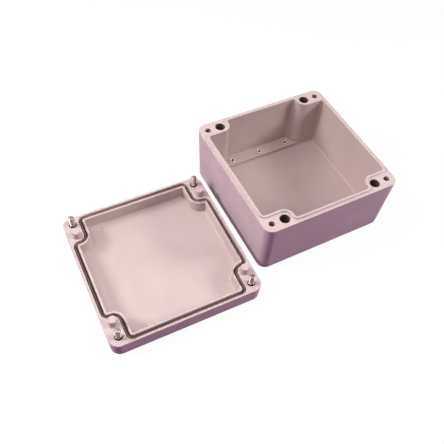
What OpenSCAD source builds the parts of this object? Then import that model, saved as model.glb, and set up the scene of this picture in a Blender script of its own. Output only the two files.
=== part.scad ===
// Polyester enclosure box, 160 x 160 x 90 mm when closed, shown open:
// the base stands upright and the lid lies upside down beside it, turned a quarter turn.
// Millimetres, +Z up, origin at the middle of the base's back face, which stands on the ground.

/* [Box] */
// Outside width at the parting line, along the row of two holes in each corner
body_w = 160; // [150:1:200]
// Outside depth at the parting line
body_d = 160; // [150:1:200]
// Height of the base up to its rim ledge
base_h = 70; // [55:1:110]
// Height of the lid
lid_h = 20; // [18:0.5:28]
// Radius of the upright outside corners
corner_r = 10; // [7:0.5:12]
// How far each side of the base leans in from rim to bottom
base_draft = 2; // [0.5:0.5:3]
// How far each side of the lid leans in from flange to outer face
lid_draft = 0.5; // [0:0.1:1]
// Radius of the edge around the base's bottom and the lid's outer face
outer_edge_r = 2.5; // [2:0.5:5]
// Chamfer of the outside edge at the parting line
rim_edge = 0.6; // [0.2:0.1:0.8]
// Thickness of the base's floor
base_floor_t = 6; // [4:0.5:8]
// Thickness of the lid's plate
lid_floor_t = 5; // [3:0.5:7]

/* [Rim and seal] */
// Width of the flat ledge outside the tongue
ledge_w = 3.3; // [3:0.1:4]
// Width of the tongue on the base's rim
tongue_w = 2.6; // [2:0.1:3]
// Height of the tongue above the ledge
tongue_h = 2.2; // [1.5:0.1:2.5]
// Room between the tongue and the lid's lip
lip_gap = 0.3; // [0.2:0.05:0.4]
// Room between the tongue and the lid's flange
flange_gap = 1.0; // [0.4:0.05:1.1]
// Width of the lid's lip
lip_w = 2.3; // [1.8:0.1:2.4]
// Depth of the sealing groove
groove_depth = 5; // [4.5:0.1:6]
// How far the tongue presses into the gasket
gasket_squeeze = 0.2; // [0.1:0.05:0.5]
// Radius where a boss runs into the wall, at the tongue's inner edge
boss_fillet_r = 3; // [2.7:0.1:4]

/* [Corner bosses] */
// Distance of both corner holes from the side that they run along
hole_inset = 10; // [9.5:0.5:11]
// Distance from the lid-screw hole to the fixing hole
hole_pitch = 15; // [14:0.5:18]
// Diameter of the deep bore that takes a fixing screw and its head
fix_bore_d = 10.8; // [10.4:0.2:11]
// Diameter of the fixing hole through the bottom
fix_hole_d = 7; // [5:0.5:8]
// Thickness of the seat under a fixing screw's head
fix_seat_t = 6.5; // [4:0.5:10]
// Wall around the fixing bore
boss_wall = 5.1; // [4.6:0.1:5.4]
// Height of the plugs on the lid that close the fixing bores
plug_h = 8.5; // [4:0.5:12]
// Room around a plug in its bore
plug_gap = 0.4; // [0.2:0.1:0.6]

/* [Lid screws] */
// Diameter of the screw's thread
screw_d = 6; // [5:0.5:6]
// Diameter of the screw's waist
waist_d = 4.7; // [4:0.1:4.8]
// Diameter of the screw's head
head_d = 10; // [9:0.5:10.5]
// Height of the screw's head
head_h = 4; // [3:0.5:4.5]
// Width of the slot in the head
slot_w = 1.6; // [1:0.1:2]
// Depth of the slot in the head
slot_depth = 1.8; // [1:0.1:2]
// How far the screw's tip stands above the lid's flange
screw_out = 13.5; // [10:0.5:20]
// Height of the screw's rounded tip
tip_h = 2; // [1:0.5:3]
// Height of the loose screw's head above the ground
head_lift = 0.5; // [0.3:0.1:0.8]
// Diameter of the screw's bore in the lid
screw_bore_d = 7.6; // [7.2:0.1:8]
// Diameter of the recess for the head
head_bore_d = 12; // [11.5:0.5:13]
// Depth of the recess for the head
head_bore_depth = 7; // [6:0.5:8]
// Height of the rubber ring that keeps the screw captive
ring_h = 1.6; // [1:0.1:2]
// Depth of the rubber ring below the lid's flange
ring_depth = 2.7; // [2.6:0.1:3]

/* [Inserts and floor strips] */
// Diameter of the inserts for the lid screws
boss_insert_d = 8.6; // [8:0.2:9]
// Length of the inserts for the lid screws
boss_insert_h = 15; // [10:1:18]
// Depth of the inserts for the lid screws below the ledge
boss_insert_depth = 1.5; // [1:0.1:2.5]
// Diameter of the small hole in the ledge above each insert
boss_mouth_d = 6.4; // [6.2:0.1:6.8]
// Core diameter of the lid-screw thread
boss_thread_d = 5; // [4.2:0.1:5.2]
// Room for the screw's tip below the insert
tip_room_h = 10; // [5:1:15]
// Width of the floor strips, from the wall
strip_w = 14.5; // [14:0.5:20]
// Height of the floor strips
strip_h = 4.5; // [4:0.5:8]
// Distance between neighbouring inserts along a strip
strip_pitch = 37; // [33:0.5:38]
// Distance of the strip inserts from the outside of the box
strip_insert_inset = 14; // [13:0.5:16]
// Diameter of the strip inserts
strip_insert_d = 7; // [5.5:0.1:7.5]
// Length of the strip inserts
strip_insert_h = 8; // [6:0.5:9]
// How far the strip inserts stand proud of the strip
strip_insert_proud = 1; // [0.1:0.1:1.2]
// Core diameter of the strip inserts' thread
strip_thread_d = 3.3; // [2.5:0.1:4]
// Chamfer at the mouth of every thread
thread_chamfer = 0.5; // [0.2:0.1:0.6]
// Diameter of the round moulding marks on the floors
mark_d = 6; // [4:0.5:8]
// Depth of the round moulding marks
mark_depth = 0.3; // [0.1:0.1:0.5]
// Distance of the moulding marks from the outside of the box
mark_inset = 16.5; // [14:0.5:25]
// Distance of the base's marks from the middle of the side
base_mark_shift = 20; // [0:1:45]
// Distance of the lid's marks from the middle of the side
lid_mark_shift = 43; // [10:1:45]

/* [Lid place] */
// Gap between the base's side and the lid
lid_gap = 10.5; // [8:0.5:40]
// Shift of the lid along the base's side
lid_shift = -24.8; // [-60:0.1:60]
// Turn of the lid beyond the quarter turn
lid_turn = -1.1; // [-3:0.1:3]

/* [Hidden] */

$fn = 48;
hull_fn = 32;
fillet_steps = 6;
boss_steps = 12;
tip_steps = 6;
// Smallest radius left where a fillet is offset inward
fillet_min = 0.1;
// Overlap that keeps cuts and joins from ending on a shared face
over = 1;
// Running room of the captive ring in its bore and on the waist
ring_bore_gap = 0.08;
ring_waist_gap = 0.05;

rim_w = ledge_w + tongue_w;
boss_r = fix_bore_d / 2 + boss_wall;
screw_x = body_w / 2 - hole_inset;
screw_y = body_d / 2 - hole_inset;
fix_x = screw_x - hole_pitch;
fix_y = screw_y;

// Outlines of the seal, measured inward from the tongue's inner edge
groove_inner = lip_gap;
groove_outer = -(tongue_w + flange_gap);
lip_inner = lip_gap + lip_w;
groove_z = lid_h - groove_depth;
gasket_h = groove_depth - tongue_h + gasket_squeeze;

lid_x = -(body_w / 2 + lid_gap + body_d / 2);
screw_tip_z = lid_h + screw_out;
ring_z = lid_h - ring_depth - ring_h;
thread_z = ring_z + ring_h + ring_waist_gap;

strip_top_z = base_floor_t + strip_h;
strip_insert_y = body_d / 2 - strip_insert_inset;
strip_insert_z = strip_top_z + strip_insert_proud - strip_insert_h;
boss_insert_z = base_h - boss_insert_depth - boss_insert_h;

// Corners as seen in the open pose: name, then signs in the piece's own plan
base_corners = [
  ["front_left", -1, -1], ["front_right", 1, -1], ["back_left", -1, 1], ["back_right", 1, 1]
];
lid_corners = [
  ["front_left", -1, 1], ["front_right", -1, -1], ["back_left", 1, 1], ["back_right", 1, -1]
];
strip_places = [
  ["front_left", -1, -1], ["front_middle", 0, -1], ["front_right", 1, -1],
  ["back_left", -1, 1], ["back_middle", 0, 1], ["back_right", 1, 1]
];
mark_x = body_w / 2 - mark_inset;
base_marks = [[mark_x, base_mark_shift], [-mark_x, base_mark_shift]];
lid_marks = [for (sx = [-1, 1], sy = [-1, 1]) [sx * mark_x, sy * lid_mark_shift]];

polyester = [0.76, 0.68, 0.68];
rubber = [0.16, 0.13, 0.13];
seal_rubber = [0.55, 0.46, 0.43];
stainless = [0.80, 0.79, 0.78];
brass = [0.76, 0.60, 0.36];

function arc(x, y, r, from, to, steps) = [
  for (i = [0 : steps])
    let (a = from + (to - from) * i / steps)
      [x + r * cos(a), y + r * sin(a)]
];

function mirrored(path, sx, sy) = [for (p = path) [sx * p[0], sy * p[1]]];

function reversed(path) = [for (i = [len(path) - 1 : -1 : 0]) path[i]];

// One quarter of the hollow's outline, from the side wall round the boss to the end wall.
// d moves the whole outline inward, so that outlines with different d run parallel.
function hollow_quarter(d) =
  let (
    half_w = body_w / 2 - rim_w - d,
    half_d = body_d / 2 - rim_w - d,
    round_r = boss_r + d,
    fillet_r = max(fillet_min, min(boss_fillet_r, hole_inset - rim_w) - d)
  )
  concat(
    arc(half_w - fillet_r, fix_y - round_r - fillet_r, fillet_r, 0, 90, fillet_steps),
    arc(fix_x, fix_y, round_r, 270, 180, boss_steps),
    arc(fix_x - round_r - fillet_r, half_d - fillet_r, fillet_r, 0, 90, fillet_steps)
  );

module hollow_plan(d) {
  quarter = hollow_quarter(d);
  polygon(concat(
    quarter,
    mirrored(reversed(quarter), -1, 1),
    mirrored(quarter, -1, -1),
    mirrored(reversed(quarter), 1, -1)
  ));
}

// A block with rounded corners, sides that lean in towards the ground and a rounded lower edge
module moulded_block(height, draft) {
  top_x = body_w / 2 - corner_r;
  top_y = body_d / 2 - corner_r;
  hull() {
    for (sx = [-1, 1], sy = [-1, 1]) {
      translate([sx * top_x, sy * top_y, height - rim_edge])
        cylinder(h = rim_edge, r1 = corner_r, r2 = corner_r - rim_edge, $fn = hull_fn);
      translate([sx * (top_x - draft), sy * (top_y - draft), outer_edge_r])
        rotate_extrude($fn = hull_fn)
          translate([corner_r - outer_edge_r, 0])
            circle(r = outer_edge_r, $fn = hull_fn);
    }
  }
}

// Places its children in the open lid, whose plan is the base's plan turned a quarter turn
module in_lid() {
  translate([lid_x, lid_shift, 0])
    rotate([0, 0, 90 + lid_turn])
      children();
}

module floor_strips() {
  for (side = [0, 1])
    mirror([0, side, 0])
      translate([-fix_x, body_d / 2 - rim_w - strip_w, 0])
        cube([2 * fix_x, strip_w + over, strip_top_z]);
}

module fixing_hole() {
  translate([0, 0, fix_seat_t])
    cylinder(h = base_h, d = fix_bore_d);
  translate([0, 0, -over])
    cylinder(h = base_h, d = fix_hole_d);
}

module boss_insert_pocket() {
  translate([0, 0, boss_insert_z])
    cylinder(h = boss_insert_h, d = boss_insert_d);
  translate([0, 0, base_h - boss_insert_depth - over])
    cylinder(h = boss_insert_depth + 2 * over, d = boss_mouth_d);
  translate([0, 0, boss_insert_z - tip_room_h])
    cylinder(h = tip_room_h + over, d = boss_mouth_d);
}

module base_shell() {
  color(polyester)
    difference() {
      union() {
        moulded_block(base_h, base_draft);
        translate([0, 0, base_h - over])
          linear_extrude(tongue_h + over)
            hollow_plan(-tongue_w);
      }
      difference() {
        translate([0, 0, base_floor_t])
          linear_extrude(base_h)
            hollow_plan(0);
        floor_strips();
      }
      for (c = base_corners) {
        translate([c[1] * fix_x, c[2] * fix_y, 0])
          fixing_hole();
        translate([c[1] * screw_x, c[2] * screw_y, 0])
          boss_insert_pocket();
      }
      for (p = strip_places)
        translate([p[1] * strip_pitch, p[2] * strip_insert_y, strip_insert_z])
          cylinder(h = strip_insert_h, d = strip_insert_d);
      for (m = base_marks)
        translate([m[0], m[1], base_floor_t - mark_depth])
          cylinder(h = over, d = mark_d);
    }
}

module lid_shell() {
  plug_d = fix_bore_d - 2 * plug_gap;
  color(polyester)
    in_lid()
      difference() {
        union() {
          moulded_block(lid_h, lid_draft);
          for (c = lid_corners)
            translate([c[1] * fix_x, c[2] * fix_y, lid_h - over])
              cylinder(h = plug_h + over, d = plug_d);
        }
        translate([0, 0, lid_floor_t])
          linear_extrude(lid_h)
            hollow_plan(lip_inner);
        translate([0, 0, groove_z])
          linear_extrude(lid_h)
            difference() {
              hollow_plan(groove_outer);
              hollow_plan(groove_inner);
            }
        for (c = lid_corners)
          translate([c[1] * screw_x, c[2] * screw_y, 0]) {
            translate([0, 0, -over])
              cylinder(h = lid_h + 2 * over, d = screw_bore_d);
            translate([0, 0, -over])
              cylinder(h = head_bore_depth + over, d = head_bore_d);
          }
        for (m = lid_marks)
          translate([m[0], m[1], lid_floor_t - mark_depth])
            cylinder(h = over, d = mark_d);
      }
}

module lid_gasket() {
  color(seal_rubber)
    in_lid()
      translate([0, 0, groove_z])
        linear_extrude(gasket_h)
          difference() {
            hollow_plan(groove_outer);
            hollow_plan(groove_inner);
          }
}

// The screw's half section, from the slotted head on the ground side up to the rounded tip
module screw_profile() {
  tip_r = screw_d / 2;
  polygon(concat(
    [[0, head_lift], [head_d / 2, head_lift], [head_d / 2, head_lift + head_h]],
    [[waist_d / 2, head_lift + head_h], [waist_d / 2, thread_z], [tip_r, thread_z]],
    [
      for (i = [0 : tip_steps])
        let (a = 90 * i / tip_steps)
          [tip_r * cos(a), screw_tip_z - tip_h * (1 - sin(a))]
    ]
  ));
}

module lid_screw(c) {
  color(stainless)
    in_lid()
      translate([c[1] * screw_x, c[2] * screw_y, 0])
        difference() {
          rotate_extrude()
            screw_profile();
          translate([-head_d, -slot_w / 2, head_lift - over])
            cube([2 * head_d, slot_w, slot_depth + over]);
        }
}

module screw_ring(c) {
  color(rubber)
    in_lid()
      translate([c[1] * screw_x, c[2] * screw_y, ring_z])
        difference() {
          cylinder(h = ring_h, d = screw_bore_d - 2 * ring_bore_gap);
          translate([0, 0, -over])
            cylinder(h = ring_h + 2 * over, d = waist_d + 2 * ring_waist_gap);
        }
}

module threaded_insert(outer_d, height, thread_d) {
  color(brass)
    difference() {
      cylinder(h = height, d = outer_d);
      translate([0, 0, -over])
        cylinder(h = height + 2 * over, d = thread_d);
      translate([0, 0, height - thread_chamfer])
        cylinder(h = thread_chamfer, d1 = thread_d, d2 = thread_d + 2 * thread_chamfer);
    }
}

module boss_insert(c) {
  translate([c[1] * screw_x, c[2] * screw_y, boss_insert_z])
    threaded_insert(boss_insert_d, boss_insert_h, boss_thread_d);
}

module strip_insert(p) {
  translate([p[1] * strip_pitch, p[2] * strip_insert_y, strip_insert_z])
    threaded_insert(strip_insert_d, strip_insert_h, strip_thread_d);
}

base_shell();
lid_shell();
lid_gasket();
for (c = lid_corners) {
  lid_screw(c);
  screw_ring(c);
}
for (c = base_corners)
  boss_insert(c);
for (p = strip_places)
  strip_insert(p);
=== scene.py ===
import logging
import math
from dataclasses import dataclass, field
from enum import Enum
from typing import Callable, Iterable, Sequence

import bmesh
import bpy
from mathutils import Matrix, Vector


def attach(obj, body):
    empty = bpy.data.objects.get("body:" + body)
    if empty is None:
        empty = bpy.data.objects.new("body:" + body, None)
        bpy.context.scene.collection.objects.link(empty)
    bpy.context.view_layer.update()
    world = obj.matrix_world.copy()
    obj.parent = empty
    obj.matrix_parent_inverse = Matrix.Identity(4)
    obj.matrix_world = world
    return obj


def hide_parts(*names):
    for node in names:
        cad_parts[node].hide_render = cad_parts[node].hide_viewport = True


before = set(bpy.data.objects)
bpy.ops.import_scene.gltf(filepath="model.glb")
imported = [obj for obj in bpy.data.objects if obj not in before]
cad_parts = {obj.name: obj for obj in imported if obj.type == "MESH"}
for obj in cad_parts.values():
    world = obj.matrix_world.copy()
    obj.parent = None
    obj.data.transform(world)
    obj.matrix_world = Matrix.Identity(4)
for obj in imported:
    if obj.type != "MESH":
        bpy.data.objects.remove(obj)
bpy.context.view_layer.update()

LOG = logging.getLogger("enclosure")
# Pieces are modelled in millimetres and brought to metres when they are finished
MM = 0.001
# How near a point has to be to a level or a place to count as lying on it, in millimetres
NEAR = 1e-3
# A step of a section that runs less than this keeps its outline
STILL = NEAR / 10
# How far a tool reaches past the piece that it works on, in millimetres
OVER = 1.0
# Faces whose normal rises or falls less than this count as upright
UPRIGHT = 0.1
# Faces that meet at less than this angle are one flat face
FLAT = math.radians(1.0)
# Steps in a large round and in a small edge
ROUND_CUTS = 6
EDGE_CUTS = 3

Step = tuple[float, float]
Point = tuple[float, float]
Colour = tuple[float, float, float, float]

WHITE: Colour = (1.0, 1.0, 1.0, 1.0)
# A hair of an inset, because a lone face that is extruded at once leaves a floor behind
NO_FLOOR: Step = (NEAR, 0.0)


class Heading(Enum):
    """A way to go in a section, as (inward run, upward rise)."""

    IN = (1.0, 0.0)
    OUT = (-1.0, 0.0)
    UP = (0.0, 1.0)
    DOWN = (0.0, -1.0)


class Corner(Enum):
    """A corner of the box as seen in the open pose."""

    FRONT_LEFT = "front_left"
    FRONT_RIGHT = "front_right"
    BACK_LEFT = "back_left"
    BACK_RIGHT = "back_right"


class Join(Enum):
    """How one solid is worked into another."""

    UNION = "UNION"
    CUT = "DIFFERENCE"
    COMMON = "INTERSECT"


class Zone(Enum):
    """A part of a piece that has its own finish."""

    RIM = "rim"
    HOLLOW = "hollow"
    BORE = "bore"
    OUTSIDE = "outside"


# Signs of each corner in the base's plan, and in the plan of the lid, which lies a quarter turn round
BASE_SIGNS = {
    Corner.FRONT_LEFT: (-1, -1),
    Corner.FRONT_RIGHT: (1, -1),
    Corner.BACK_LEFT: (-1, 1),
    Corner.BACK_RIGHT: (1, 1),
}
LID_SIGNS = {
    Corner.FRONT_LEFT: (-1, 1),
    Corner.FRONT_RIGHT: (-1, -1),
    Corner.BACK_LEFT: (1, 1),
    Corner.BACK_RIGHT: (1, -1),
}


def straight(way: Heading, length: float) -> list[Step]:
    """One straight step of a section.

    Args:
        way: Where the section goes.
        length: How far, in millimetres.

    Returns:
        The step as (run, rise), in a list.
    """
    run, rise = way.value
    return [(run * length, rise * length)]


def rounded(first: Heading, then: Heading, radius: float, cuts: int = 4) -> list[Step]:
    """A quarter round in a section, from one heading into the next.

    Args:
        first: The heading before the round.
        then: The heading after it.
        radius: Radius in millimetres.
        cuts: Number of steps.

    Returns:
        The steps of the round.
    """
    points = []
    for cut in range(cuts + 1):
        angle = math.pi / 2 * cut / cuts
        along, across = radius * math.sin(angle), radius * (1 - math.cos(angle))
        points.append([along * a + across * b for a, b in zip(first.value, then.value)])
    return [(b[0] - a[0], b[1] - a[1]) for a, b in zip(points, points[1:])]


def clear_selection() -> None:
    """Leaves edit mode and deselects every object."""
    if bpy.context.object is not None and bpy.context.object.mode != "OBJECT":
        bpy.ops.object.mode_set(mode="OBJECT")
    bpy.ops.object.select_all(action="DESELECT")


def activate(obj: bpy.types.Object) -> None:
    """Selects one object and makes it the active one.

    Args:
        obj: The object.
    """
    clear_selection()
    obj.select_set(True)
    bpy.context.view_layer.objects.active = obj


class Workpiece:
    """A mesh that is modelled in edit mode, in millimetres, one operator at a time."""

    def __init__(self, name: str) -> None:
        """Starts a piece that has no faces yet.

        Args:
            name: Name of the object.
        """
        clear_selection()
        bpy.ops.mesh.primitive_plane_add(size=2.0)
        self.obj: bpy.types.Object = bpy.context.object
        self.obj.name = self.obj.data.name = name
        bpy.ops.object.mode_set(mode="EDIT")
        bpy.ops.mesh.delete(type="VERT")

    def cage(self) -> bmesh.types.BMesh:
        """Returns the mesh that is being edited, for picking."""
        return bmesh.from_edit_mesh(self.obj.data)

    def pick_points(self, test: Callable[[Vector], bool]) -> None:
        """Selects the points that pass a test, and nothing else.

        Args:
            test: Takes a point's place and says whether it is wanted.
        """
        bpy.ops.mesh.select_mode(type="VERT")
        bpy.ops.mesh.select_all(action="DESELECT")
        cage = self.cage()
        for point in cage.verts:
            point.select = test(point.co)
        cage.select_flush(True)
        bmesh.update_edit_mesh(self.obj.data)

    def pick_edges(self, test: Callable[[bmesh.types.BMEdge], bool]) -> None:
        """Selects the edges that pass a test, and nothing else.

        Args:
            test: Takes an edge and says whether it is wanted.
        """
        bpy.ops.mesh.select_mode(type="EDGE")
        bpy.ops.mesh.select_all(action="DESELECT")
        cage = self.cage()
        for edge in cage.edges:
            edge.select_set(test(edge))
        bmesh.update_edit_mesh(self.obj.data)

    def pick_faces(self, test: Callable[[bmesh.types.BMFace], bool]) -> None:
        """Selects the faces that pass a test, and nothing else.

        Args:
            test: Takes a face and says whether it is wanted.
        """
        bpy.ops.mesh.select_mode(type="FACE")
        bpy.ops.mesh.select_all(action="DESELECT")
        cage = self.cage()
        for face in cage.faces:
            face.select_set(test(face))
        bmesh.update_edit_mesh(self.obj.data)

    def plate(self, half_x: float, half_y: float, level: float) -> None:
        """Adds a flat rectangular face about the middle and leaves it selected.

        Args:
            half_x: Half its size across.
            half_y: Half its size in depth.
            level: Its height.
        """
        bpy.ops.mesh.select_mode(type="VERT")
        bpy.ops.mesh.select_all(action="DESELECT")
        bpy.ops.mesh.primitive_plane_add(size=2.0, location=(0, 0, level))
        bpy.ops.transform.resize(value=(half_x, half_y, 1.0), center_override=(0, 0, level))

    def disc(self, centre: Point, level: float, radius: float, points: int = 48) -> None:
        """Adds a round face and leaves it selected.

        Args:
            centre: Its middle in plan.
            level: Its height.
            radius: Its radius.
            points: Points round its edge.
        """
        bpy.ops.mesh.select_mode(type="FACE")
        bpy.ops.mesh.select_all(action="DESELECT")
        bpy.ops.mesh.primitive_circle_add(
            vertices=points, radius=radius, fill_type="NGON", location=(*centre, level)
        )

    def round_corners(self, test: Callable[[Vector], bool], radius: float, cuts: int) -> None:
        """Rounds corners of a flat face.

        Args:
            test: Picks the corner points by their place.
            radius: Radius of the round.
            cuts: Number of steps in it.
        """
        self.pick_points(test)
        bpy.ops.mesh.bevel(
            offset=radius, offset_type="OFFSET", segments=cuts, profile=0.5, affect="VERTICES"
        )

    def follow(self, section: Iterable[Step]) -> None:
        """Carries the selected flat face along a section, leaving walls behind it.

        Args:
            section: Steps as (inward run, upward rise).
        """
        bpy.ops.mesh.select_mode(type="FACE")
        for run, rise in section:
            if run > STILL:
                face = next(f for f in self.cage().faces if f.select)
                lift = rise if face.normal.z > 0 else -rise
                bpy.ops.mesh.inset(thickness=run, depth=lift, use_even_offset=True)
                continue
            bpy.ops.mesh.extrude_region_move(TRANSFORM_OT_translate={"value": (0, 0, rise)})
            if run < -STILL:
                face = next(f for f in self.cage().faces if f.select)
                middle = face.calc_center_bounds()
                reach = (face.verts[0].co - middle).length
                grow = (reach - run) / reach
                bpy.ops.transform.resize(value=(grow, grow, 1.0), center_override=middle)

    def open_cap(self) -> None:
        """Takes out the selected face and keeps its edges."""
        bpy.ops.mesh.delete(type="ONLY_FACE")

    def dent(self, centre: Point, level: float, radius: float, depth: float) -> None:
        """Adds a shallow round dent with soft edges.

        Args:
            centre: Its middle in plan.
            level: Height of the face round it.
            radius: Its radius.
            depth: Its depth.
        """
        self.disc(centre, level, radius)
        self.follow(
            [
                *rounded(Heading.IN, Heading.DOWN, depth / 2, EDGE_CUTS),
                *rounded(Heading.DOWN, Heading.IN, depth / 2, EDGE_CUTS),
            ]
        )

    def pick_open_rim(self, level: float) -> None:
        """Selects the open edges that lie at one height.

        Args:
            level: The height.
        """
        self.pick_edges(
            lambda edge: len(edge.link_faces) < 2
            and all(abs(point.co.z - level) < NEAR for point in edge.verts)
        )

    def close_level(self, level: float) -> None:
        """Fills the flat between all open edges that lie at one height."""
        self.pick_open_rim(level)
        bpy.ops.mesh.fill(use_beauty=True)

    def bridge_level(self, level: float) -> None:
        """Joins the two open rims that lie at one height."""
        self.pick_open_rim(level)
        bpy.ops.mesh.bridge_edge_loops()

    def seal(self) -> None:
        """Merges doubles, turns all faces outward and leaves edit mode."""
        bpy.ops.mesh.select_mode(type="VERT")
        bpy.ops.mesh.select_all(action="SELECT")
        bpy.ops.mesh.remove_doubles(threshold=NEAR)
        bpy.ops.mesh.normals_make_consistent(inside=False)
        bpy.ops.object.mode_set(mode="OBJECT")

    def absorb(self, other: "Workpiece") -> None:
        """Takes another piece's faces into this one and stays in edit mode.

        Args:
            other: A piece whose edges meet this one's.
        """
        activate(other.obj)
        self.obj.select_set(True)
        bpy.context.view_layer.objects.active = self.obj
        bpy.ops.object.join()
        bpy.ops.object.mode_set(mode="EDIT")

    def work_in(self, tool: "Workpiece", how: Join) -> None:
        """Joins another sealed piece into this one, or cuts with it, and uses it up.

        Args:
            tool: The other piece.
            how: Whether it adds, cuts or leaves what both share.
        """
        activate(self.obj)
        modifier = self.obj.modifiers.new(how.name.lower(), "BOOLEAN")
        modifier.operation = how.value
        modifier.solver = "EXACT"
        modifier.object = tool.obj
        bpy.ops.object.modifier_apply(modifier=modifier.name)
        bpy.data.objects.remove(tool.obj)
        bpy.ops.object.mode_set(mode="EDIT")
        self.seal()

    def dress(
        self,
        finishes: dict[Zone, bpy.types.Material],
        zone_of: Callable[[bmesh.types.BMFace], Zone],
    ) -> None:
        """Gives each face the finish of its zone.

        Args:
            finishes: The finish of each zone.
            zone_of: Takes a face and says which zone it belongs to.
        """
        activate(self.obj)
        bpy.ops.object.mode_set(mode="EDIT")
        for index, (zone, finish) in enumerate(finishes.items()):
            self.obj.data.materials.append(finish)
            self.pick_faces(lambda face: zone_of(face) is zone)
            self.obj.active_material_index = index
            bpy.ops.object.material_slot_assign()
        bpy.ops.object.mode_set(mode="OBJECT")

    def smooth(self, angle: float = 38.0) -> None:
        """Shades the piece smooth up to an angle, with normals that follow its large faces.

        Args:
            angle: Edges sharper than this, in degrees, stay crisp.
        """
        activate(self.obj)
        bpy.ops.object.shade_smooth_by_angle(angle=math.radians(angle))
        modifier = self.obj.modifiers.new("even", "WEIGHTED_NORMAL")
        modifier.keep_sharp = True
        bpy.ops.object.modifier_apply(modifier=modifier.name)


@dataclass(frozen=True)
class Place:
    """Where a finished piece goes: a point in millimetres and a turn about the upright axis."""

    x: float = 0.0
    y: float = 0.0
    z: float = 0.0
    turn: float = 0.0

    def settle(self, obj: bpy.types.Object) -> None:
        """Brings a piece to metres and to this place, with the place in its mesh.

        Args:
            obj: A piece that was modelled in millimetres about the origin.
        """
        activate(obj)
        obj.scale = (MM, MM, MM)
        obj.rotation_euler = (0.0, 0.0, math.radians(self.turn))
        obj.location = (self.x * MM, self.y * MM, self.z * MM)
        bpy.ops.object.transform_apply(location=True, rotation=True, scale=True)

    def carry(self, x: float, y: float) -> "Place":
        """Returns this place moved by a point that is given in its own plan."""
        c, s = math.cos(math.radians(self.turn)), math.sin(math.radians(self.turn))
        return Place(self.x + c * x - s * y, self.y + s * x + c * y, self.z, self.turn)


def copied(obj: bpy.types.Object, name: str) -> bpy.types.Object:
    """Copies a piece with its own mesh.

    Args:
        obj: The piece.
        name: The copy's name.

    Returns:
        The copy.
    """
    activate(obj)
    bpy.ops.object.duplicate(linked=False)
    twin = bpy.context.object
    twin.name = twin.data.name = name
    return twin


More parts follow.
